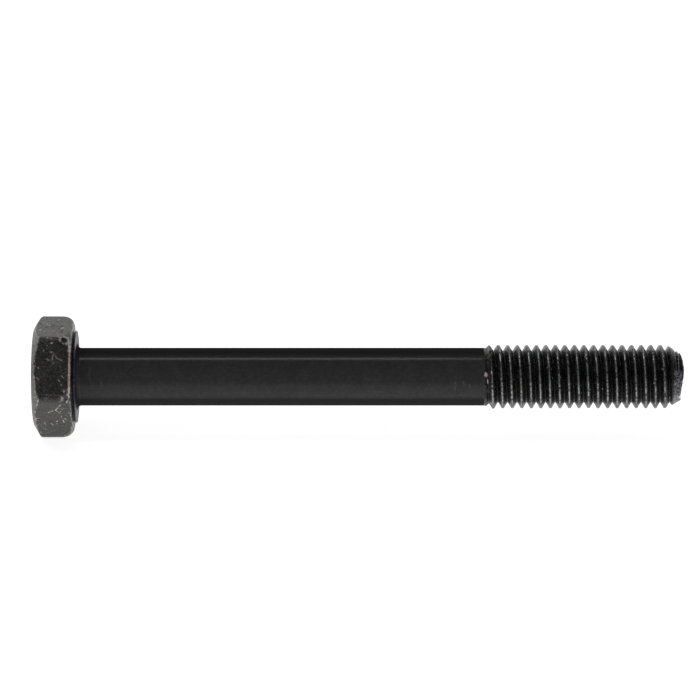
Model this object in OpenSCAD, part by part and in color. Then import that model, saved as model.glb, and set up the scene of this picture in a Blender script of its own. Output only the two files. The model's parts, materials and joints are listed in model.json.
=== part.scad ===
/* [Bolt] */
// Length from the bearing face to the tip
bolt_len = 95; // [80:5:150]
// Diameter of the plain shank
shank_d = 9.1; // [8.8:0.1:9.8]
// Radius of the fillet where the shank meets the washer face
fillet_r = 0.7; // [0.2:0.1:0.8]

/* [Head] */
// Width across the flats, the spanner size
head_w = 17; // [16:0.5:19]
// Width across the rounded corners
head_corner_w = 19; // [18.5:0.1:19.6]
// Height of the head, washer face included
head_h = 6.7; // [5:0.1:8]
// Diameter of the flat circle on top of the head
head_top_d = 15.3; // [13:0.1:16]
// Slope of the chamfer round the top of the head, in degrees
head_chamfer = 30; // [15:5:35]
// Rounding where the corners meet the underside
head_under_r = 1.4; // [0.5:0.1:1.6]

/* [Washer face] */
// Diameter of the raised bearing ring under the head
washer_d = 14.5; // [13:0.1:16]
// Thickness of the raised bearing ring
washer_h = 0.5; // [0.3:0.1:1]

/* [Thread] */
// Outside diameter over the crests
thread_d = 10; // [9.6:0.1:10.4]
// Distance from one crest to the next
pitch = 1.5; // [1:0.25:1.5]
// Length of the threaded end, point included
thread_len = 31; // [26:1:60]
// Length over which the thread rises out of the shank
run_in = 1.2; // [0.6:0.2:3]
// Angle round the bolt at which the thread starts, from +Y towards +Z
thread_start = -72; // [-180:6:180]

/* [Point] */
// Diameter of the flat end
point_d = 7.4; // [6.8:0.1:7.8]
// Slope of the point's cone against the axis, in degrees
point_angle = 30; // [20:5:45]

/* [Head marks] */
// Depth of the stamped bars
mark_depth = 0.25; // [0.1:0.05:0.5]
// Width of each bar
mark_w = 0.8; // [0.5:0.1:1.4]
// Length of the upper bar
mark_long_l = 5.2; // [4:0.2:6]
// Length of each of the two lower bars
mark_short_l = 2; // [1:0.1:2.4]
// Distance of each row of marks from the middle of the head
mark_row = 2.4; // [2:0.1:3]

/* [Hidden] */
$fn = 64;

// Steps in the quarter circle of a fillet or a rounding
ARC_STEPS = 6;
fillet_d = shank_d + 2 * fillet_r;
corner_drop = (head_corner_w - head_top_d) / 2 * tan(head_chamfer);
head_under_x = -washer_h;

// An ISO metric thread: 60 degree flanks, crests an eighth of a pitch wide
thread_r = thread_d / 2;
root_r = thread_r - 0.6134 * pitch;
flank_l = (thread_r - root_r) * tan(30);
crest_l = pitch / 8;
thread_x = bolt_len - thread_len;
point_x = bolt_len - (root_r - point_d / 2) / tan(point_angle);
// Corners of one pitch of the profile, as [distance along the pitch, radius]
profile = [
    [0, thread_r],
    [crest_l, thread_r],
    [crest_l + flank_l, root_r],
    [pitch - flank_l, root_r]
];
TURN_STEPS = 36;
ROWS = len(profile);
turns = ceil((point_x - thread_x) / pitch) + 1;

// Turns a shape drawn about Z so that its Z axis points along the bolt
module along_bolt() {
    rotate([0, 90, 0]) children();
}

// The outline of the head as turned: flat top, chamfer, corners, rounded underside
module head_outline() {
    arc_c = [head_corner_w / 2 - head_under_r, head_under_x - head_under_r];
    polygon([
        [0, -head_h],
        [head_top_d / 2, -head_h],
        [head_corner_w / 2, corner_drop - head_h],
        for (i = [0 : ARC_STEPS])
            arc_c + head_under_r * [cos(90 * i / ARC_STEPS), sin(90 * i / ARC_STEPS)],
        [0, head_under_x]
    ]);
}

// One bar sunk into the top of the head, centred on y and z
module stamped_bar(y, z, l) {
    translate([-head_h, y, z])
        cube([2 * mark_depth, l, mark_w], center = true);
}

// A long bar above the middle, and below it two short ones that end under its ends
module head_marks() {
    stamped_bar(0, mark_row, mark_long_l);
    for (side = [-1, 1])
        stamped_bar(side * (mark_long_l - mark_short_l) / 2, -mark_row, mark_short_l);
}

module hex_head() {
    color([0.2, 0.2, 0.21])
    difference() {
        intersection() {
            along_bolt() translate([0, 0, -head_h]) rotate([0, 0, 30])
                cylinder(d = head_w / cos(30), h = head_h - washer_h, $fn = 6);
            along_bolt() rotate_extrude() head_outline();
        }
        head_marks();
    }
}

module washer_face() {
    color([0.3, 0.3, 0.33])
    along_bolt() translate([0, 0, -washer_h])
        difference() {
            cylinder(d = washer_d, h = washer_h);
            translate([0, 0, -washer_h]) cylinder(d = fillet_d, h = 3 * washer_h);
        }
}

// A collar that eases the shank out of the bearing face with a hollow curve. It fills
// the ring of the washer face, so that the bearing face ends where the curve begins.
module fillet() {
    color([0.2, 0.2, 0.22])
    along_bolt() rotate_extrude()
        polygon([
            [shank_d / 2, -washer_h],
            [fillet_d / 2, -washer_h],
            for (i = [0 : ARC_STEPS])
                [fillet_d / 2, fillet_r]
                    - fillet_r * [sin(90 * i / ARC_STEPS), cos(90 * i / ARC_STEPS)]
        ]);
}

module shank() {
    color([0.13, 0.13, 0.14])
    along_bolt() translate([0, 0, -washer_h])
        cylinder(d = shank_d, h = washer_h + thread_x);
}

// Radius of the thread at a corner of its profile: it grows out of the shank over
// the run-in, and the cone of the point cuts it down to the root
function thread_radius(x, r) =
    let (
        grown = min(1, (x - thread_x) / run_in),
        cone = root_r + (point_x - x) * tan(point_angle)
    )
    x >= point_x ? root_r : min(shank_d / 2 + (r - shank_d / 2) * grown, cone);

// A point of the thread's skin. Row by row the profile's corners advance along the
// bolt, and step by step round the bolt they advance by their share of a pitch.
function skin_point(row, i) =
    let (
        corner = profile[row % ROWS],
        lead = pitch * (floor(row / ROWS) - 1 + i / TURN_STEPS) + corner[0],
        x = min(point_x, max(thread_x, thread_x + lead)),
        r = thread_radius(x, corner[1]),
        a = thread_start + 360 * i / TURN_STEPS
    )
    [x, r * cos(a), r * sin(a)];

// After a full turn the skin carries on one pitch further along
function skin_index(row, i) =
    i < TURN_STEPS ? row * TURN_STEPS + i : (row + ROWS) * TURN_STEPS;

// A triangle is left out where the ends of the thread press it flat
function if_open(points, t) =
    points[t[0]] == points[t[1]] || points[t[1]] == points[t[2]] || points[t[2]] == points[t[0]]
        ? [] : [t];

module thread() {
    last = (turns + 1) * ROWS;
    points = [
        for (row = [0 : last])
            for (i = [0 : TURN_STEPS - 1]) skin_point(row, i)
    ];
    skin = [
        for (row = [0 : last - 1])
            for (i = [0 : TURN_STEPS - 1])
                if (skin_index(row + 1, i + 1) <= skin_index(last, TURN_STEPS - 1))
                    let (
                        a = skin_index(row, i),
                        b = skin_index(row, i + 1),
                        c = skin_index(row + 1, i + 1),
                        d = skin_index(row + 1, i)
                    )
                    each concat(if_open(points, [a, b, c]), if_open(points, [a, c, d]))
    ];
    start_cap = [for (i = [TURN_STEPS - 1 : -1 : 0]) i];
    end_cap = [for (i = [0 : TURN_STEPS - 1]) skin_index(last, i)];
    color([0.16, 0.16, 0.17])
    polyhedron(points, concat([start_cap], skin, [end_cap]), convexity = 10);
}

module point() {
    color([0.25, 0.25, 0.28])
    along_bolt() translate([0, 0, point_x])
        cylinder(r1 = root_r, d2 = point_d, h = bolt_len - point_x);
}

hex_head();
washer_face();
fillet();
shank();
thread();
point();
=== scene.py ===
import json
import math
import random

import bmesh
import bpy
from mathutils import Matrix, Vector, noise


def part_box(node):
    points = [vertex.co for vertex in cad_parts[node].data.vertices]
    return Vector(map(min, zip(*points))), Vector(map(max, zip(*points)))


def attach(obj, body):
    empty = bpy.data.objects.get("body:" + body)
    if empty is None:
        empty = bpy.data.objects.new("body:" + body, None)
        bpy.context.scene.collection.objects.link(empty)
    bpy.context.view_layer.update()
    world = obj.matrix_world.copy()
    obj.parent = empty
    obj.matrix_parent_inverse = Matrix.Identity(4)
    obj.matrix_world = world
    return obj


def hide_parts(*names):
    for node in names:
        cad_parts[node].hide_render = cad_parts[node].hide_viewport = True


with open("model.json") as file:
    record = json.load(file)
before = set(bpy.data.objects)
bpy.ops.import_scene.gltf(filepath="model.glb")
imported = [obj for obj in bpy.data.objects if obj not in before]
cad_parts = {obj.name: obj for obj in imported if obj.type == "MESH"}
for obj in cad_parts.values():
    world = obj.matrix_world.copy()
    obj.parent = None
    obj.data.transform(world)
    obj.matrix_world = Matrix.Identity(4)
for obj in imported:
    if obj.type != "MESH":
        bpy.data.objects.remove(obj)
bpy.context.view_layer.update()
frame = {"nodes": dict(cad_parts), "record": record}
mm = 0.001
turn = 2 * math.pi
alongBolt = Vector((1, 0, 0))
print("frame loaded:", ", ".join(sorted(frame["nodes"])))

# sizes of the bolt, all read from the frame
mounts = {m["name"]: m for m in frame["record"]["mounts"]}
headLow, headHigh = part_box("hex_head")
bolt = {
    "topX": headLow.x,
    "underX": headHigh.x,
    "flatR": headHigh.z,
    "cornerR": headHigh.y,
    "ringR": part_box("washer_face")[1].y,
    "bearingX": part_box("washer_face")[1].x,
    "collarR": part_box("fillet")[1].y,
    "collarX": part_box("fillet")[1].x,
    "shankR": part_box("shank")[1].y,
    "threadX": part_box("thread")[0].x,
    "pointX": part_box("point")[0].x,
    "tipX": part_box("point")[1].x,
    "rootR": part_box("point")[1].y,
    "crestR": mounts["thread_end"]["dims"]["r_mm"] * mm,
}


def smooth(value, low, high):  # eases from 0 at low to 1 at high
    t = min(1, max(0, (value - low) / (high - low)))
    return t * t * (3 - 2 * t)


def mix(a, b, t):
    return a + (b - a) * t


def softMin(a, b, width):  # the smaller of two, with the corner between them rounded
    h = max(width - abs(a - b), 0) / width
    return min(a, b) - h * h * width / 4


def roundedPath(corners, rounds, arcSteps, lineSteps):
    # follows (x, radius) corners; each inner corner is rounded off over its own length
    points = [Vector(c) for c in corners]
    path, start = [points[0]], points[0]
    for i in range(1, len(points)):
        last = i == len(points) - 1
        here, back = points[i], (points[i - 1] - points[i])
        if last:
            entry = here
        else:
            ahead = points[i + 1] - here
            cut = min(rounds[i - 1], 0.48 * back.length, 0.48 * ahead.length)
            entry, leave = here + back.normalized() * cut, here + ahead.normalized() * cut
        for k in range(1, lineSteps[i - 1] + 1):
            path.append(start.lerp(entry, k / lineSteps[i - 1]))
        if not last:
            for k in range(1, arcSteps[i - 1] + 1):
                t = k / arcSteps[i - 1]
                path.append(entry.lerp(here, t).lerp(here.lerp(leave, t), t))
            start = leave
    return path


def spunGrid(bm, stations, steps):
    # a line of vertices spun once round the bolt; layer "station" says which ring each belongs to
    layer = bm.verts.layers.int.new("station")
    verts = []
    for i in range(stations):
        vert = bm.verts.new((i * mm, mm, 0))
        vert[layer] = i
        verts.append(vert)
    edges = [bm.edges.new(pair) for pair in zip(verts, verts[1:])]
    sectors = 12  # one sector is spun step by step, the others are copies of it
    bmesh.ops.spin(bm, geom=verts + edges, cent=(0, 0, 0), axis=alongBolt,
                   angle=turn / sectors, steps=steps // sectors)
    bmesh.ops.spin(bm, geom=bm.verts[:] + bm.edges[:] + bm.faces[:], cent=(0, 0, 0), axis=alongBolt,
                   angle=turn * (sectors - 1) / sectors, steps=sectors - 1, use_duplicate=True)
    bmesh.ops.remove_doubles(bm, verts=bm.verts[:], dist=0.001 * mm)
    return layer


def onBolt(x, radius, angle):
    # the place at this distance along the bolt, distance from its axis and angle round it
    return Vector((x, radius * math.cos(angle), radius * math.sin(angle)))


def roundBolt(place):
    # the same three measures of a place
    return place.x, math.hypot(place.y, place.z), math.atan2(place.z, place.y)


def angleFrom(angle, degrees):
    # how far an angle in radians lies from one in degrees, in degrees either way
    return (math.degrees(angle) - degrees + 180) % 360 - 180


def closeUp(bm):
    # welds poles and seams and turns every face outwards
    bmesh.ops.remove_doubles(bm, verts=bm.verts[:], dist=0.0005 * mm)
    bmesh.ops.dissolve_degenerate(bm, dist=0.0002 * mm, edges=bm.edges[:])
    bmesh.ops.recalc_face_normals(bm, faces=bm.faces[:])


def dent(bm, spots):
    # each spot is (centre, reach, depth): the skin there is pressed in along its normal
    bm.normal_update()
    moves = {}
    for centre, reach, depth in spots:
        for vert in bm.verts:
            away = (vert.co - centre).length / reach
            if away < 1:
                moves[vert] = moves.get(vert, Vector()) - vert.normal * depth * (1 - away * away) ** 2
    for vert, move in moves.items():
        vert.co += move


def storeEdges(bm, gain):
    # stores how much each vertex stands out from its neighbours, which is where a finish wears
    layer = bm.verts.layers.float.new("edge")
    bm.normal_update()
    proud = {}
    for vert in bm.verts:
        rise = [vert.normal.dot((vert.co - e.other_vert(vert).co).normalized()) for e in vert.link_edges]
        proud[vert] = sum(rise) / max(1, len(rise))
    for vert in bm.verts:
        near = [proud[e.other_vert(vert)] for e in vert.link_edges] + [proud[vert]]
        vert[layer] = min(1, max(0, gain * sum(near) / len(near)))


def storeSpots(bm, spots):
    # each spot is (distance along in mm, angle in degrees, half length in mm, half width in mm)
    layer = bm.verts.layers.float.new("wearAndHighlight")
    for vert in bm.verts:
        x, radius, angle = roundBolt(vert.co)
        if radius < 0.8 * bolt["rootR"]:  # the end face stays clear
            continue
        for spotX, degrees, halfLength, halfWidth in spots:
            around = math.radians(angleFrom(angle, degrees)) * radius / (halfWidth * mm)
            along = (x - spotX * mm) / (halfLength * mm)
            vert[layer] = max(vert[layer], 1 - math.hypot(along, around))


def makePiece(name, bm, node, material):
    mesh = bpy.data.meshes.new(name)
    bm.to_mesh(mesh)
    bm.free()
    piece = bpy.data.objects.new(name, mesh)
    bpy.context.scene.collection.objects.link(piece)
    mesh.shade_smooth()
    mesh.set_sharp_from_angle(angle=math.radians(50))
    mesh.materials.append(material)
    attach(piece, "root")
    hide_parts(node)
    print(f"{name}: {len(mesh.polygons)} faces")


def newGroup(name, inputs, outputs):
    group = bpy.data.node_groups.new(name, "ShaderNodeTree")
    for label, kind, value in inputs:
        socket = group.interface.new_socket(label, in_out="INPUT", socket_type=kind)
        if value is not None:
            socket.default_value = value
    for label in outputs:
        group.interface.new_socket(label, in_out="OUTPUT", socket_type="NodeSocketFloat")
    return group, group.nodes.new("NodeGroupInput"), group.nodes.new("NodeGroupOutput")


def feed(tree, node, links):
    # links feed a node's inputs from sockets or set plain values
    for key, value in links.items():
        if isinstance(value, bpy.types.NodeSocket):
            tree.links.new(value, node.inputs[key])
        else:
            node.inputs[key].default_value = value
    return node


def addNode(tree, kind, links=None, **settings):
    node = tree.nodes.new("ShaderNode" + kind)
    for key, value in settings.items():
        setattr(node, key, value)
    return feed(tree, node, links or {})


def mapped(tree, value, fromLow, fromHigh, toLow=0.0, toHigh=1.0):
    node = addNode(tree, "MapRange", {0: value, 1: fromLow, 2: fromHigh, 3: toLow, 4: toHigh})
    return node.outputs[0]


def combine(tree, operation, a, b):
    return addNode(tree, "Math", {0: a, 1: b}, operation=operation).outputs[0]


def makeGrainGroup():
    # the mottled skin of forged and blackened steel
    group, given, result = newGroup("steelGrain", [
        ("Vector", "NodeSocketVector", None), ("Size", "NodeSocketFloat", 2600.0)],
        ["Mottle", "Height"])
    fine = addNode(group, "TexNoise", {"Vector": given.outputs[0], "Scale": given.outputs[1],
                                       "Detail": 3.0, "Roughness": 0.7, "Distortion": 0.4})
    broad = addNode(group, "TexNoise", {"Vector": given.outputs[0], "Scale": 420.0, "Detail": 2.0})
    both = combine(group, "ADD", mapped(group, fine.outputs[0], 0.36, 0.64),
                   mapped(group, broad.outputs[0], 0.3, 0.7, -0.3, 0.3))
    group.links.new(both, result.inputs[0])
    group.links.new(fine.outputs[0], result.inputs[1])
    return group


def makeWearGroup():
    # bare metal along the edges, broken up by noise
    group, given, result = newGroup("edgeWear", [
        ("Vector", "NodeSocketVector", None), ("Edge", "NodeSocketFloat", 0.0),
        ("Amount", "NodeSocketFloat", 0.5), ("Breakup", "NodeSocketFloat", 1800.0)], ["Mask"])
    noiseNode = addNode(group, "TexNoise", {"Vector": given.outputs[0], "Scale": given.outputs[3],
                                            "Detail": 3.0, "Roughness": 0.7})
    level = combine(group, "ADD", given.outputs[1], given.outputs[2])
    level = combine(group, "SUBTRACT", level, mapped(group, noiseNode.outputs[0], 0.3, 0.7))
    shown = combine(group, "MULTIPLY", mapped(group, level, 0.35, 0.75),
                    mapped(group, given.outputs[1], 0.05, 0.3))
    group.links.new(shown, result.inputs[0])
    return group


def makeSpeckGroup():
    # small bright knocks scattered over the skin
    group, given, result = newGroup("brightSpecks", [
        ("Vector", "NodeSocketVector", None), ("Size", "NodeSocketFloat", 1500.0),
        ("Share", "NodeSocketFloat", 0.2)], ["Mask"])
    wobble = addNode(group, "TexNoise", {"Vector": given.outputs[0], "Scale": 3000.0})
    bent = addNode(group, "VectorMath", {0: wobble.outputs[1], 1: [0.4 * mm] * 3},
                   operation="MULTIPLY")
    place = addNode(group, "VectorMath", {0: given.outputs[0], 1: bent.outputs[0]}, operation="ADD")
    cells = addNode(group, "TexVoronoi", {"Vector": place.outputs[0], "Scale": given.outputs[1]})
    dot = mapped(group, cells.outputs["Distance"], 0.30, 0.16)
    tone = addNode(group, "SeparateColor", {0: cells.outputs["Color"]})
    patch = addNode(group, "TexNoise", {"Vector": given.outputs[0], "Scale": 330.0, "Detail": 1.0})
    share = combine(group, "MULTIPLY", given.outputs[2],
                    mapped(group, patch.outputs[0], 0.42, 0.62, 0.1, 2.2))
    chosen = combine(group, "LESS_THAN", tone.outputs[0], share)
    group.links.new(combine(group, "MULTIPLY", dot, chosen), result.inputs[0])
    return group


def makeScratchGroup():
    # fine hair lines, each set running its own way
    group, given, result = newGroup("hairScratches", [
        ("Vector", "NodeSocketVector", None), ("Share", "NodeSocketFloat", 0.5)], ["Mask"])
    total = None
    for turnBy, stretch in [((0.3, 0.9, 0.2), (200, 5200, 2600)), ((1.1, 0.2, 0.7), (4200, 240, 3100))]:
        laid = addNode(group, "Mapping", {0: given.outputs[0], 2: turnBy, 3: stretch})
        line = addNode(group, "TexNoise", {"Vector": laid.outputs[0], "Scale": 1.0, "Detail": 1.0})
        thin = mapped(group, line.outputs[0], 0.69, 0.74)
        total = thin if total is None else combine(group, "MAXIMUM", total, thin)
    group.links.new(combine(group, "MULTIPLY", total, given.outputs[1]), result.inputs[0])
    return group


groups = {
    "grain": makeGrainGroup(),
    "wear": makeWearGroup(),
    "specks": makeSpeckGroup(),
    "scratches": makeScratchGroup(),
}
print("node groups:", ", ".join(groups))


def addGroup(tree, name, links):
    node = tree.nodes.new("ShaderNodeGroup")
    node.node_tree = groups[name]
    return feed(tree, node, links)


def blend(tree, mask, a, b):
    # from colour a to colour b by the mask
    first, second = (v if isinstance(v, bpy.types.NodeSocket) else (*v, 1) for v in (a, b))
    return addNode(tree, "Mix", {0: mask, 6: first, 7: second}, data_type="RGBA").outputs[2]


def blendValue(tree, mask, a, b):
    return addNode(tree, "Mix", {0: mask, 2: a, 3: b}).outputs[0]


def blackenedSteel(name, look):
    # black oxide over steel: dark skin, bare metal on the edges, specks and hair lines; some pieces add
    # painted highlights in a wear colour and painted shade at the edges
    material = bpy.data.materials.new(name)
    material.use_nodes = True
    tree = material.node_tree
    shader = tree.nodes["Principled BSDF"]
    place = addNode(tree, "TexCoord").outputs["Object"]
    edge = addNode(tree, "Attribute", attribute_name="edge").outputs["Fac"]
    grain = addGroup(tree, "grain", {"Vector": place, "Size": look["grainSize"]})
    wear = addGroup(tree, "wear", {"Vector": place, "Edge": edge, "Amount": look["wear"]})
    specks = addGroup(tree, "specks", {"Vector": place, "Share": look["specks"]})
    scratches = addGroup(tree, "scratches", {"Vector": place, "Share": look["scratches"]})
    pale = combine(tree, "POWER", mapped(tree, grain.outputs["Mottle"], 0, 1), look["patchy"])
    colour = blend(tree, pale, look["dark"], look["light"])
    if "rustic" in look:  # a raw, coarser grain where the steel was cut or turned
        raw = addNode(tree, "Attribute", attribute_name="raw").outputs["Fac"]
        coarse = addGroup(tree, "grain", {"Vector": place, "Size": 3300.0}).outputs["Mottle"]
        coarse = blend(tree, mapped(tree, coarse, 0.25, 1.0), look["rusticDark"], look["rustic"])
        colour = blend(tree, mapped(tree, raw, 0.0, 1.0), colour, coarse)
    metal = combine(tree, "MAXIMUM", wear.outputs[0],
                    combine(tree, "MAXIMUM", specks.outputs[0], scratches.outputs[0]))
    bare = look["bare"]
    if "wearAndHighlight" in look:  # worn coppery places, with painted highlights and reflections in the same colours
        wearAndHighlight = addNode(tree, "Attribute", attribute_name="wearAndHighlight").outputs["Fac"]
        wearAndHighlight = addGroup(tree, "wear", {"Vector": place, "Edge": wearAndHighlight, "Amount": look["wearAndHighlightAmount"],
                                         "Breakup": 4200.0}).outputs[0]
        metal = combine(tree, "SUBTRACT", metal, wearAndHighlight)
        metal = mapped(tree, metal, 0, 1)
    colour = blend(tree, metal, colour, bare)
    if "wearAndHighlight" in look:
        wearAndHighlightColour = blend(tree, grain.outputs["Mottle"], look["wearAndHighlightDark"], look["wearAndHighlight"])
        colour = blend(tree, wearAndHighlight, colour, wearAndHighlightColour)
    if "rim" in look:  # painted shade: the base colour goes deeper black where the surface turns away from the viewer
        turned = addNode(tree, "LayerWeight", {0: 0.5}).outputs["Facing"]
        turned = mapped(tree, turned, look["rimFrom"], look["rimTo"])
        colour = blend(tree, turned, colour, look["rim"])
    tree.links.new(colour, shader.inputs["Base Color"])
    shine = combine(tree, "MAXIMUM", combine(tree, "MULTIPLY", metal, look["metallic"]),
                    combine(tree, "MULTIPLY", pale, look["patina"]))
    tree.links.new(shine, shader.inputs["Metallic"])
    if "sheen" in look:  # an oily film that shows only where the surface faces the viewer
        film = addNode(tree, "LayerWeight", {0: 0.5}).outputs["Facing"]
        film = mapped(tree, film, look["rimFrom"], look["rimTo"], look["sheen"], 0)
        tree.links.new(film, shader.inputs["Coat Weight"])
        shader.inputs["Coat Roughness"].default_value = look["sheenRough"]
    rough = mapped(tree, grain.outputs["Mottle"], 0, 1, look["rough"] - look["roughSpread"],
                   look["rough"] + look["roughSpread"])
    tree.links.new(blendValue(tree, metal, rough, look["bareRough"]), shader.inputs["Roughness"])
    shader.inputs["IOR"].default_value = look["ior"]
    shader.inputs["Specular IOR Level"].default_value = look["specular"]
    shader.inputs["Specular Tint"].default_value = (*look["tint"], 1)
    height = combine(tree, "SUBTRACT", grain.outputs["Height"],
                     combine(tree, "MULTIPLY", specks.outputs[0], 0.8))
    bump = addNode(tree, "Bump", {"Height": height, "Distance": look["grainDepth"]})
    tree.links.new(bump.outputs[0], shader.inputs["Normal"])
    return material


headSteel = blackenedSteel("headOxide", {
    "dark": (0.002, 0.002, 0.002), "light": (0.13, 0.128, 0.115), "patchy": 3.5, "patina": 0.8,
    # the pink wear colours below are partly worn metal, partly a painted highlight on the underside edge
    "bare": (0.46, 0.45, 0.42), "wearAndHighlight": (0.98, 0.72, 0.64), "wearAndHighlightDark": (0.34, 0.20, 0.17),
    "wearAndHighlightAmount": 0.4, "metallic": 0.85, "rough": 0.33, "roughSpread": 0.16,
    "bareRough": 0.38, "ior": 1.6, "specular": 0.5, "tint": (1.0, 0.99, 0.95),
    "grainSize": 3600.0, "grainDepth": 0.15 * mm,
    "wear": 0.25, "specks": 0.11, "scratches": 0.12,
    "rustic": (0.18, 0.18, 0.15), "rusticDark": (0.002, 0.002, 0.002)})
ringSteel = blackenedSteel("ringOxide", {
    "dark": (0.006, 0.006, 0.009), "light": (0.060, 0.055, 0.080), "patchy": 2.0, "patina": 0.3,
    "bare": (0.24, 0.22, 0.28), "metallic": 0.9, "rough": 0.44, "roughSpread": 0.14,
    "bareRough": 0.38, "ior": 1.5, "specular": 0.25, "tint": (0.93, 0.90, 1.0),
    "grainSize": 2800.0, "grainDepth": 0.06 * mm,
    "wear": 0.1, "specks": 0.06, "scratches": 0.2})
shankSteel = blackenedSteel("shankOxide", {
    "dark": (0.041, 0.041, 0.041), "light": (0.053, 0.053, 0.053), "patchy": 1.0, "patina": 0.0,
    # the wear colours below serve the real scuffs, and also the painted reflection on the fillet
    "bare": (0.14, 0.14, 0.14), "wearAndHighlight": (0.095, 0.095, 0.095),
    "wearAndHighlightDark": (0.055, 0.055, 0.055), "wearAndHighlightAmount": 0.4,
    "metallic": 0.3, "rough": 0.6, "roughSpread": 0.05, "bareRough": 0.5, "ior": 1.45,
    "specular": 0.0, "tint": (1.0, 1.0, 1.0), "grainSize": 1800.0, "grainDepth": 0.003 * mm,
    "wear": 0.0, "specks": 0.0, "scratches": 0.10, "sheen": 0.2, "sheenRough": 0.15,
    # rim: painted shade for the shank's edges, set by how far the surface turns from the viewer
    "rim": (0.026, 0.026, 0.026), "rimFrom": 0.25, "rimTo": 0.40})
threadSteel = blackenedSteel("threadOxide", {
    "dark": (0.003, 0.003, 0.003), "light": (0.030, 0.030, 0.028), "patchy": 2.2, "patina": 0.1,
    # the pink wear colours below are painted highlights for the glints at the thread's start; the
    # point's pale spot uses them too
    "bare": (0.31, 0.32, 0.35), "wearAndHighlight": (1.0, 0.80, 0.90), "wearAndHighlightDark": (0.9, 0.55, 0.68),
    "wearAndHighlightAmount": 0.9, "metallic": 0.85, "rough": 0.24, "roughSpread": 0.12,
    "bareRough": 0.30, "ior": 1.5, "specular": 0.5, "tint": (0.52, 0.52, 0.49),
    "grainSize": 3200.0, "grainDepth": 0.07 * mm,
    "wear": 0.17, "specks": 0.05, "scratches": 0.2,
    "rustic": (0.34, 0.34, 0.40), "rusticDark": (0.004, 0.004, 0.006)})
print("finishes ready")


# the head: rings of a turned blank, pressed to a hexagon
head = {
    "topR": 7.65 * mm,
    "chamfer": math.radians(30),
    "cornerRound": 1.3 * mm,
    "underRound": 0.32 * mm,
    "underRoundAtCorner": 1.65 * mm,
    "edgeRound": 0.22 * mm,
    "lip": 0.035 * mm,  # what trimming leaves round the top, and how wide
    "lipWidth": 0.12 * mm,
    "flatSteps": 60,
    "cornerSteps": 20,
    "seed": 7,
    "nicks": 34,
    "nickReach": (0.2, 0.5),
    "nickDepth": (0.04, 0.11),
    "swells": [(1.7, 0.012), (0.45, 0.009)],  # size and height, for a skin that is never quite flat
    "edgeGain": 14,
    "chamferRaw": 0.8,
    "wearAndHighlightBand": (0.42, 0.34, 0.10, 0.04),  # above the underside: begins, full, full, ends
    "facetWearAndHighlight": [1.0, 0.25, 0.7, 0.35, 0.5, 0.2],  # strength per facet, counted from the facet that faces front, where the painted highlight is strongest
    "knocks": [  # distance along the bolt, angle round it, reach and depth
        (-1.5, 121, 0.75, 0.36), (-0.95, 120.5, 0.6, 0.28), (-0.95, 179, 0.75, 0.2),
        (-2.4, 194, 0.42, 0.16), (-2.0, 190, 0.35, 0.13), (-3.0, 197, 0.34, 0.12),
        (-1.8, 189, 0.3, 0.1), (-3.9, 212, 0.32, 0.12), (-1.7, 218, 0.28, 0.1),
        (-3.1, 204, 0.25, 0.08), (-3.4, 88, 0.35, 0.08), (-2.6, 97, 0.3, 0.07),
        (-4.6, 93, 0.4, 0.08), (-2.0, 108, 0.3, 0.08), (-4.1, 150, 0.35, 0.08),
        (-3.0, 160, 0.3, 0.08), (-2.6, 141, 0.4, 0.08), (-5.0, 30, 0.5, 0.12),
        (-3.2, -30, 0.5, 0.12), (-2.2, -88, 0.5, 0.1),
    ],
    "scrapeWidth": 0.16 * mm,
    "scrapeGain": 1.3,
    "scrapes": [  # from (distance along, angle) to (distance along, angle)
        (-4.4, 139, -3.5, 142), (-3.5, 142, -3.1, 134), (-3.1, 134, -2.6, 139),
        (-2.6, 139, -1.8, 141), (-3.3, 145, -2.9, 142), (-5.7, 159, -5.4, 161),
        (-2.4, 161, -2.1, 163), (-1.95, 165.5, -1.8, 167), (-1.9, 157, -1.6, 159),
        (-2.1, 186, -2.9, 194), (-2.9, 194, -2.3, 199), (-2.3, 199, -1.9, 193),
        (-4.1, 198, -3.3, 195), (-3.85, 216, -3.4, 220), (-1.9, 211, -1.7, 216),
        (-2.1, 203, -2.1, 207), (-4.9, 214, -4.6, 219), (-1.5, 178, -2.0, 182),
        (-2.7, 116, -2.2, 118.5), (-2.2, 118.5, -2.15, 122), (-2.15, 122, -1.7, 125),
        (-2.2, 118.5, -1.6, 116.6), (-1.0, 116.2, -0.65, 117.5), (-0.65, 117.5, -0.6, 121),
        (-4.0, 104, -3.2, 101), (-2.4, 98, -1.8, 94), (-4.6, 84, -3.9, 88),
        (-3.0, 40, -2.0, 46), (-4.0, 20, -3.6, 12), (-2.4, -34, -1.6, -25),
        (-4.4, -64, -3.0, -58), (-2.2, -96, -3.4, -90), (-3.6, -20, -3.0, -24),
    ],
}
marks = {
    "depth": 0.25 * mm,
    "width": 0.8 * mm,
    "row": 2.4 * mm,
    "longBar": 5.2 * mm,
    "shortBar": 2.0 * mm,
    "wall": 0.11 * mm,
    "burr": 0.05 * mm,
}


halfSide = math.radians(30)  # half of the angle that one side of the hexagon spans
insideR = bolt["flatR"] - head["cornerRound"]  # the smaller hexagon on which the corners' centres sit
centreR = insideR / math.cos(halfSide)


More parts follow.
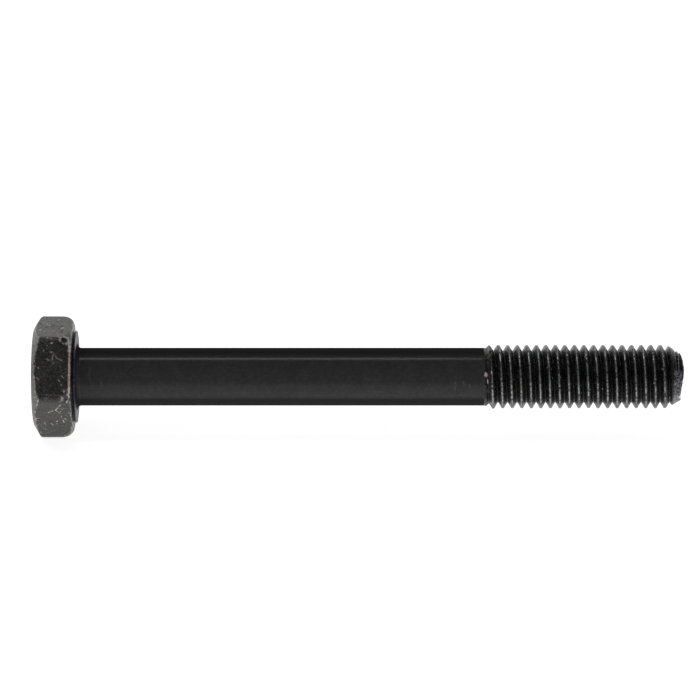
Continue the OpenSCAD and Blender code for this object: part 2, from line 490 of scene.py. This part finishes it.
def hexagonAngles():
    # angles round the bolt, evenly along each flat and each rounded corner, starting mid-flat
    halfFlat = insideR * math.tan(halfSide)
    half = []
    for k in range(head["flatSteps"] // 2 + 1):
        half.append(math.atan2(halfFlat * 2 * k / head["flatSteps"], bolt["flatR"]))
    for k in range(1, head["cornerSteps"] // 2 + 1):
        a = halfSide * 2 * k / head["cornerSteps"]
        spot = Vector((math.cos(halfSide), math.sin(halfSide))) * centreR
        spot += Vector((math.cos(a), math.sin(a))) * head["cornerRound"]
        half.append(math.atan2(spot.y, spot.x))
    side = half + [2 * halfSide - a for a in reversed(half[:-1])]
    return [a + 2 * halfSide * k for k in range(6) for a in side[:-1]]


def hexagonRadius(angle):
    # distance from the axis to the rounded hexagon; flats face up and down
    off = abs((angle - turn / 4 + halfSide) % (2 * halfSide) - halfSide)
    if math.tan(off) * bolt["flatR"] <= insideR * math.tan(halfSide):
        return bolt["flatR"] / math.cos(off)
    away = halfSide - off
    bulge = math.sqrt(head["cornerRound"] ** 2 - (centreR * math.sin(away)) ** 2)
    return centreR * math.cos(away) + bulge


def cornerShare(radius):
    # 0 in the middle of a flat, 1 at the CAD's corner
    return (radius - bolt["flatR"]) / (bolt["cornerR"] - bolt["flatR"])


def onHead(x, degrees):
    # the place on the side of the head, x in mm
    angle = math.radians(degrees)
    return onBolt(x * mm, hexagonRadius(angle), angle)


def barDistance(y, z, centreY, centreZ, length):
    # signed distance to a bar with slightly rounded ends
    roundEnd = marks["width"] * 0.35
    dy = abs(y - centreY) - length / 2 + roundEnd
    dz = abs(z - centreZ) - marks["width"] / 2 + roundEnd
    outside = math.hypot(max(dy, 0), max(dz, 0))
    return outside + min(max(dy, dz), 0) - roundEnd


def markDepth(y, z):
    # how deep the stamp has sunk the top here; just outside a bar it has raised a burr
    side = (marks["longBar"] - marks["shortBar"]) / 2
    away = min(
        barDistance(y, z, 0, marks["row"], marks["longBar"]),
        barDistance(y, z, -side, -marks["row"], marks["shortBar"]),
        barDistance(y, z, side, -marks["row"], marks["shortBar"]),
    )
    sunk = marks["depth"] * (1 - smooth(away, -marks["wall"], marks["wall"]))
    burr = marks["burr"] * math.exp(-((away - marks["wall"] * 1.6) / marks["wall"]) ** 2)
    return sunk - burr


def headPath(angle):
    # the head's outline at this angle: top, chamfer, side, underside
    reach = hexagonRadius(angle)
    corner = max(0, cornerShare(reach)) ** 1.5
    underRound = mix(head["underRound"], head["underRoundAtCorner"], corner)
    chamferEnd = bolt["topX"] + (reach - head["topR"]) * math.tan(head["chamfer"])
    return roundedPath(
        [(bolt["topX"], 0), (bolt["topX"], head["topR"]), (chamferEnd, reach),
         (bolt["underX"], reach), (bolt["underX"], 0)],
        [head["edgeRound"], head["edgeRound"], underRound],
        [8, 6, 12],
        [58, 12, 42, 12],
    )


def makeHead():
    angles = hexagonAngles()
    paths = {}
    bm = bmesh.new()
    stations = len(headPath(0))
    layer = spunGrid(bm, stations, len(angles))
    for vert in bm.verts:
        index = round(math.atan2(vert.co.z, vert.co.y) / turn * len(angles)) % len(angles)
        angle = angles[index] + halfSide
        if index not in paths:
            paths[index] = headPath(angle)
        x, radius = paths[index][vert[layer]]
        vert.co = onBolt(x, radius, angle)
    closeUp(bm)
    for vert in bm.verts:  # the lip round the top, and the stamped marks
        x, radius, angle = roundBolt(vert.co)
        if x < bolt["topX"] + 0.3 * mm and radius < head["topR"] + 0.2 * mm:
            fromLip = (radius - head["topR"] + 0.15 * mm) / head["lipWidth"]
            vert.co.x += markDepth(vert.co.y, vert.co.z) - head["lip"] * math.exp(-fromLip ** 2)
    return bm


def storeWearAndHighlight(bm):
    # a band along the edge of each facet next to the underside, where spanners and neighbours rub: worn
    # coppery metal with a painted highlight laid over it
    layer = bm.verts.layers.float.new("wearAndHighlight")
    begins, full, thins, ends = (bolt["underX"] - up * mm for up in head["wearAndHighlightBand"])
    for vert in bm.verts:
        x, radius, angle = roundBolt(vert.co)
        band = smooth(x, begins, full) * (1 - smooth(x, thins, ends))
        facet = round((math.degrees(angle) - 150) / 60) % 6
        band *= head["facetWearAndHighlight"][facet] * (radius > 8 * mm)
        vert[layer] = band * (1 - smooth(cornerShare(hexagonRadius(angle)), 0.90, 1.0))


def storeChamfer(bm):
    # the chamfer is coarser and greyer than the flats
    layer = bm.verts.layers.float.new("raw")
    for vert in bm.verts:
        x, radius, angle = roundBolt(vert.co)
        end = bolt["topX"] + (hexagonRadius(angle) - head["topR"]) * math.tan(head["chamfer"])
        sloped = smooth(radius, head["topR"] - 0.1 * mm, head["topR"] + 0.1 * mm)
        sloped *= 1 - smooth(x, end - 0.05 * mm, end + 0.12 * mm)
        vert[layer] = head["chamferRaw"] * sloped


def storeScrapes(bm):
    # short strokes where the black has been scraped through
    layer = bm.verts.layers.float["edge"]
    for fromX, fromDegrees, toX, toDegrees in head["scrapes"]:
        start = onHead(fromX, fromDegrees)
        line = onHead(toX, toDegrees) - start
        for vert in bm.verts:
            t = min(1, max(0, (vert.co - start).dot(line) / line.length_squared))
            away = (vert.co - start - line * t).length / head["scrapeWidth"]
            vert[layer] = max(vert[layer], head["scrapeGain"] * (1 - away))


bm = makeHead()
draw = random.Random(head["seed"])
spots = []
for k in range(head["nicks"]):  # every other one in the middle of a flat, every fourth on the underside
    angle = math.radians(30 + 60 * draw.randrange(6)) if k % 2 else draw.uniform(0, turn)
    x = draw.uniform(bolt["topX"] + 0.6 * mm, bolt["underX"] - 0.2 * mm)
    spot = onBolt(x if k % 4 else bolt["underX"], hexagonRadius(angle), angle)
    spots.append((spot, draw.uniform(*head["nickReach"]) * mm, draw.uniform(*head["nickDepth"]) * mm))
for x, degrees, reach, depth in head["knocks"]:
    spots.append((onHead(x, degrees), reach * mm, depth * mm))
dent(bm, spots)
for vert in bm.verts:
    swell = sum(noise.noise(vert.co / (size * mm)) * height for size, height in head["swells"])
    vert.co += vert.normal * swell * mm
storeEdges(bm, head["edgeGain"])
storeScrapes(bm)
storeWearAndHighlight(bm)
storeChamfer(bm)
makePiece("hexHead", bm, "hex_head", material=headSteel)


# the bearing ring, the fillet and the shank, all turned from outlines
ring = {
    "steps": 264,
    "rootR": 7.0 * mm,  # a shallow groove between the head and the ring's rim
    "rootEnds": 0.25 * mm,
    "rimBegins": 0.3 * mm,
    "edgeRound": 0.18 * mm,
    "edgeGain": 14,
}


def turned(path, steps):
    # a piece whose outline is the same all round
    bm = bmesh.new()
    layer = spunGrid(bm, len(path), steps)
    for vert in bm.verts:
        x, radius = path[vert[layer]]
        vert.co = onBolt(x, radius, math.atan2(vert.co.z, vert.co.y))
    return bm


bm = turned(roundedPath(
    [(bolt["underX"], bolt["collarR"]), (bolt["underX"], ring["rootR"]),
     (bolt["underX"] + ring["rootEnds"], ring["rootR"]),
     (bolt["underX"] + ring["rimBegins"], bolt["ringR"]),
     (bolt["bearingX"], bolt["ringR"]), (bolt["bearingX"], bolt["collarR"]),
     (bolt["underX"], bolt["collarR"])],
    [0.03 * mm, 0.08 * mm, 0.08 * mm, ring["edgeRound"], 0.02 * mm],
    [3, 4, 4, 8, 3], [6, 3, 3, 3, 24, 3]), ring["steps"])
closeUp(bm)
storeEdges(bm, ring["edgeGain"])
makePiece("washerRing", bm, "washer_face", material=ringSteel)

collar = {
    "steps": 264,
    "arcSteps": 14,
    "edgeGain": 14,
    "glow": [(0.25, 160, 0.3, 0.9), (0.1, 150, 0.2, 0.5)],  # painted reflection: lighter spots where the head's coppery edge is reflected on the fillet, in the shank's wear colour
}


def collarPath():
    # the hollow curve from the bearing face down to the shank, and the sleeve that carries it
    hollow = bolt["collarX"] - bolt["bearingX"]
    path = [(bolt["underX"], bolt["shankR"]), (bolt["underX"], bolt["collarR"])]
    for k in range(collar["arcSteps"] + 1):
        a = turn / 4 * k / collar["arcSteps"]
        path.append((bolt["collarX"] - hollow * math.cos(a), bolt["collarR"] - hollow * math.sin(a)))
    return path + path[:1]


bm = turned(collarPath(), collar["steps"])
closeUp(bm)
storeEdges(bm, collar["edgeGain"])
storeSpots(bm, collar["glow"])
makePiece("filletCollar", bm, "fillet", material=shankSteel)

shank = {
    "steps": 192,
    "lengths": 200,
    "edgeGain": 14,
    "scuffs": [  # distance along, angle round, half length, half width
        (59.4, 176, 0.5, 2.2), (60.8, 172, 0.45, 1.6), (61.7, 178, 0.3, 1.2), (2.2, 150, 0.5, 2.6),
        (4.0, 170, 0.4, 1.5), (30.0, 60, 1.2, 1.0), (47.0, -40, 2.0, 0.6), (18.0, -100, 0.8, 1.4),
    ],
}
bm = turned(roundedPath(
    [(bolt["underX"], 0), (bolt["underX"], bolt["shankR"]),
     (bolt["threadX"], bolt["shankR"]), (bolt["threadX"], 0)],
    [0.01 * mm, 0.01 * mm], [2, 2], [4, shank["lengths"], 4]), shank["steps"])
closeUp(bm)
storeEdges(bm, shank["edgeGain"])
storeSpots(bm, shank["scuffs"])
makePiece("plainShank", bm, "shank", material=shankSteel)


# the thread: one pitch of its outline, driven along a helix
thread = {
    "pitch": 1.5 * mm,
    "startAngle": math.radians(-72),
    "steps": 120,
    "crestFlat": 0.35 * mm,
    "runIn": 1.2 * mm,
    "crestRound": 0.17 * mm,
    "rootRound": 0.16 * mm,
    "pointAngle": math.radians(30),
    "wornDepth": 0.03 * mm,
    "glints": [  # painted highlights at the thread's start: distance along, angle round, half length, half width
        (64.2, 154, 0.3, 0.5), (64.5, 168, 0.14, 0.5), (65.1, 150, 0.1, 0.4)],
    "crush": 0.16 * mm,
    "crushedTurns": 1.5,
    "crestWaver": 0.035 * mm,
}


def threadOutline():
    # root, flank, crest, flank and root of one pitch, as (distance along, radius)
    depth = bolt["crestR"] - bolt["rootR"]
    flank = depth * math.tan(math.radians(30))
    half = thread["pitch"] / 2
    foot = thread["crestFlat"] / 2 + flank
    return roundedPath(
        [(-half, bolt["rootR"]), (-foot, bolt["rootR"]), (-thread["crestFlat"] / 2, bolt["crestR"]),
         (thread["crestFlat"] / 2, bolt["crestR"]), (foot, bolt["rootR"]), (half, bolt["rootR"])],
        [thread["rootRound"], thread["crestRound"], thread["crestRound"], thread["rootRound"]],
        [4, 4, 4, 4], [1, 3, 1, 3, 1])


def threadRadius(x, radius):
    # the thread grows out of the shank over the run-in, and the cone of the point cuts it down
    grown = smooth(x, bolt["threadX"], bolt["threadX"] + thread["runIn"])
    radius = mix(bolt["shankR"], radius, grown)
    cone = bolt["rootR"] + (bolt["pointX"] - x) * math.tan(thread["pointAngle"])
    return softMin(radius, cone, 0.25 * mm)


def makeThread():
    bm = bmesh.new()
    outline = threadOutline()
    start = bolt["threadX"] - 2 * thread["pitch"] + thread["crestFlat"] / 2
    verts = [bm.verts.new(onBolt(start + x, radius, thread["startAngle"])) for x, radius in outline]
    edges = [bm.edges.new(pair) for pair in zip(verts, verts[1:])]
    turns = math.ceil((bolt["tipX"] - bolt["threadX"]) / thread["pitch"]) + 4
    bmesh.ops.spin(bm, geom=verts + edges, cent=(0, 0, 0), axis=alongBolt,
                   dvec=alongBolt * thread["pitch"] / thread["steps"],
                   angle=turn, steps=thread["steps"])
    bmesh.ops.spin(bm, geom=bm.verts[:] + bm.edges[:] + bm.faces[:], cent=(0, 0, 0), axis=alongBolt,
                   dvec=alongBolt * thread["pitch"], angle=0, steps=turns - 1, use_duplicate=True)
    bmesh.ops.remove_doubles(bm, verts=bm.verts[:], dist=0.001 * mm)
    for vert in bm.verts:
        x, radius, angle = roundBolt(vert.co)
        vert.co = onBolt(x, threadRadius(x, radius), angle)
    return bm


def cutAt(bm, x, keepBelow):
    # cuts square across the bolt, throws one side away and caps the cut
    facing = alongBolt if keepBelow else -alongBolt
    bmesh.ops.bisect_plane(bm, geom=bm.verts[:] + bm.edges[:] + bm.faces[:], dist=0.0001 * mm,
                           plane_co=(x, 0, 0), plane_no=facing, clear_outer=True)
    rim = [e for e in bm.edges if e.is_boundary and all(abs(v.co.x - x) < 0.001 * mm for v in e.verts)]
    bmesh.ops.holes_fill(bm, edges=rim, sides=0)


def storeCrests(bm):
    # wear sits on the very top of the crests
    layer = bm.verts.layers.float.new("edge")
    for vert in bm.verts:
        radius = roundBolt(vert.co)[1]
        vert[layer] = smooth(radius, bolt["crestR"] - thread["wornDepth"], bolt["crestR"] - 0.02 * mm)


def roughenThread(bm):
    # the first turns are crushed a little by the rolling, and no crest is quite round
    start = bolt["threadX"] + thread["runIn"]
    for vert in bm.verts:
        x, radius, angle = roundBolt(vert.co)
        crushed = 1 - smooth(x, start, start + thread["crushedTurns"] * thread["pitch"])
        crushed *= smooth(x, bolt["threadX"] + 0.02 * mm, bolt["threadX"] + 0.3 * mm)
        crest = smooth(radius, bolt["crestR"] - 0.3 * mm, bolt["crestR"])
        push = crushed * thread["crush"] * noise.noise(vert.co / (0.5 * mm))
        push += crest * thread["crestWaver"] * noise.noise(vert.co / (0.9 * mm))
        push *= smooth(abs(x - bolt["pointX"]), 0, 0.3 * mm)  # both sides of the joint stay level
        push += ridge(x, angle) * (radius > 3 * mm)
        vert.co = onBolt(x, radius + push, angle)


# the point: the plain end of the cone, with the uneven rim that rolling leaves
point = {
    "rings": 16,
    "endRings": 16,
    "dish": 0.35 * mm,
    "rimRound": 0.16 * mm,
    "lobes": [  # angle, spread and rise of the rim
        (140, 36, 0.30), (205, 32, -0.14), (20, 35, 0.2), (-60, 30, 0.15), (75, 18, -0.12)],
    "steps": 240,
    "ridgeAt": 94.42 * mm,
    "ridgePitch": 0.46 * mm,
    "ridgeDepth": 0.22 * mm,
    "ridgeMiddle": 98,  # degrees round the bolt, and how far either way it fades out
    "ridgeFades": (42, 56),
    "rawFrom": 93.55 * mm,
    "rawMiddle": 188,
    "rawFades": (38, 48),
    "rawFace": 0.35,  # how much of the raw grain the end face shows
    "bumpHeight": 0.05 * mm,
    "edgeGain": 9,
    "paleSpot": (94.7, 214, 0.24, 0.45),  # a pale pink spot near the end: distance along, angle round, half length, half width
}


def ridge(x, angle):
    # last faint turns of the thread, left on the upper side of the cone
    shown = 1 - smooth(abs(angleFrom(angle, point["ridgeMiddle"])), *point["ridgeFades"])
    shown *= smooth(x, point["ridgeAt"] - 0.5 * mm, point["ridgeAt"] - 0.2 * mm)
    rib = 0.5 + 0.5 * math.cos(turn * (x - point["ridgeAt"]) / point["ridgePitch"])
    return -point["ridgeDepth"] * shown * (1 - rib ** 2)


def storeRaw(bm):
    # the bluish patch on the front of the cone, and a little of it over the end face
    layer = bm.verts.layers.float.new("raw")
    for vert in bm.verts:
        x, radius, angle = roundBolt(vert.co)
        patch = 1 - smooth(abs(angleFrom(angle, point["rawMiddle"])), *point["rawFades"])
        patch *= smooth(x, point["rawFrom"], point["rawFrom"] + 0.25 * mm)
        vert[layer] = max(patch, point["rawFace"] * (radius < 3.2 * mm))


bm = makeThread()
cutAt(bm, bolt["threadX"], keepBelow=False)
cutAt(bm, bolt["pointX"], keepBelow=True)
storeCrests(bm)
storeSpots(bm, thread["glints"])
storeRaw(bm)
roughenThread(bm)
closeUp(bm)
makePiece("rolledThread", bm, "thread", material=threadSteel)


def rimOffset(angle):
    # how far the rim stands proud at this angle
    total = 0
    for degrees, width, rise in point["lobes"]:
        total += rise * mm * math.exp(-(angleFrom(angle, degrees) / width) ** 2)
    return total


def makePoint():
    endR = bolt["rootR"] - (bolt["tipX"] - bolt["pointX"]) * math.tan(thread["pointAngle"])
    path = roundedPath(
        [(bolt["pointX"], 0), (bolt["pointX"], bolt["rootR"]), (bolt["tipX"], endR),
         (bolt["tipX"] - point["dish"], 0)],
        [0.001 * mm, point["rimRound"]], [1, 8], [4, point["rings"], point["endRings"]])
    bm = bmesh.new()
    layer = spunGrid(bm, len(path), point["steps"])
    for vert in bm.verts:
        angle = math.atan2(vert.co.z, vert.co.y)
        x, radius = path[vert[layer]]
        bumps = noise.noise(onBolt(x, radius, angle) / (0.4 * mm)) * point["bumpHeight"]
        grown = smooth(x, bolt["pointX"], bolt["tipX"])
        push = (ridge(x, angle) + grown * bumps) * (radius > 3 * mm)
        x += grown * (rimOffset(angle) + bumps) * smooth(radius, 1.5 * mm, endR)
        vert.co = onBolt(x, radius + push, angle)
    return bm


bm = makePoint()
closeUp(bm)
storeEdges(bm, point["edgeGain"])
storeRaw(bm)
storeSpots(bm, [point["paleSpot"]])
makePiece("boltPoint", bm, "point", material=threadSteel)


# floor, light and camera
studio = {
    "elevation": math.radians(21.7),
    "distance": 650 * mm,
    "lens": 212.3,
    "aimX": 42.95 * mm,
    "aimUp": 4.2 * mm,
    "floorSize": 6,
    "floorGlow": 0.88,
    "glowFades": (-22 * mm, -85 * mm, 0.12),  # from here to there in front of the bolt, down to
    "floorWhite": 0.55,
    "surround": 0.17,
    "background": 1.0,
}
floorMaterial = bpy.data.materials.new("floorWhite")  # a lit white table
floorMaterial.use_nodes = True
floorShader = floorMaterial.node_tree.nodes["Principled BSDF"]
floorShader.inputs["Base Color"].default_value = (*[studio["floorWhite"]] * 3, 1)
floorShader.inputs["Roughness"].default_value = 0.9
floorShader.inputs["Specular IOR Level"].default_value = 0.0
floorShader.inputs["Emission Color"].default_value = (1, 1, 1, 1)
fadeFrom, fadeTo, fadeDown = studio["glowFades"]
floorTree = floorMaterial.node_tree
across = addNode(floorTree, "TexCoord").outputs["Object"]
across = addNode(floorTree, "SeparateXYZ", {0: across}).outputs["Y"]
faded = mapped(floorTree, across, fadeFrom, fadeTo, studio["floorGlow"], fadeDown)
floorSeen = addNode(floorTree, "LightPath").outputs["Is Camera Ray"]
floorTree.links.new(blendValue(floorTree, floorSeen, faded, studio["floorGlow"]),
                    floorShader.inputs["Emission Strength"])
bm = bmesh.new()
bmesh.ops.create_grid(bm, x_segments=1, y_segments=1, size=studio["floorSize"] / 2)
bmesh.ops.translate(bm, verts=bm.verts[:], vec=(0, 0, -bolt["flatR"]))
mesh = bpy.data.meshes.new("floor")
bm.to_mesh(mesh)
bm.free()
mesh.materials.append(floorMaterial)
floor = bpy.data.objects.new("floor", mesh)
bpy.context.scene.collection.objects.link(floor)

world = bpy.data.worlds.new("studioWhite")  # white behind the bolt, dim all round it
world.use_nodes = True
background = world.node_tree.nodes["Background"]
background.inputs["Color"].default_value = (1, 1, 1, 1)
seen = addNode(world.node_tree, "LightPath").outputs["Is Camera Ray"]
world.node_tree.links.new(
    mapped(world.node_tree, seen, 0, 1, studio["surround"], studio["background"]),
    background.inputs["Strength"])
bpy.context.scene.world = world
bpy.context.scene.view_settings.view_transform = "Standard"

panels = {  # name: (place, aim, width, height, radiance), sizes in metres
    "backPanel": ((0.04, 0.50, 0.20), (0.04, 0, 0), 1.3, 0.42, 0.90),
    "topPanel": ((-0.13, 0.07, 0.50), (-0.13, 0, 0), 0.42, 0.07, 6.0),
    "leftPanel": ((-0.50, 0.08, 0.12), (0, 0, 0), 0.5, 0.35, 0.28),
    "rightPanel": ((0.60, 0.20, 0.10), (0.09, 0, 0), 0.4, 0.3, 0.35),
}
for name, (place, aim, width, height, radiance) in panels.items():
    lightData = bpy.data.lights.new(name, "AREA")
    lightData.shape = "RECTANGLE"
    lightData.size = width
    lightData.size_y = height
    lightData.energy = radiance * math.pi * width * height
    light = bpy.data.objects.new(name, lightData)
    light.location = place
    light.rotation_mode = "QUATERNION"
    light.rotation_quaternion = (Vector(aim) - Vector(place)).to_track_quat("-Z", "Y")
    light.visible_camera = False
    bpy.context.scene.collection.objects.link(light)
print("studio lit by", ", ".join(panels))

up = Vector((0, math.sin(studio["elevation"]), math.cos(studio["elevation"])))
back = Vector((0, -math.cos(studio["elevation"]), math.sin(studio["elevation"])))
cameraData = bpy.data.cameras.new("camera")
cameraData.lens = studio["lens"]
cameraData.clip_start = 10 * mm
camera = bpy.data.objects.new("camera", cameraData)
camera.location = Vector((studio["aimX"], 0, 0)) + up * studio["aimUp"] + back * studio["distance"]
camera.rotation_mode = "QUATERNION"
camera.rotation_quaternion = (-back).to_track_quat("-Z", "Y")
bpy.context.scene.collection.objects.link(camera)
bpy.context.scene.camera = camera
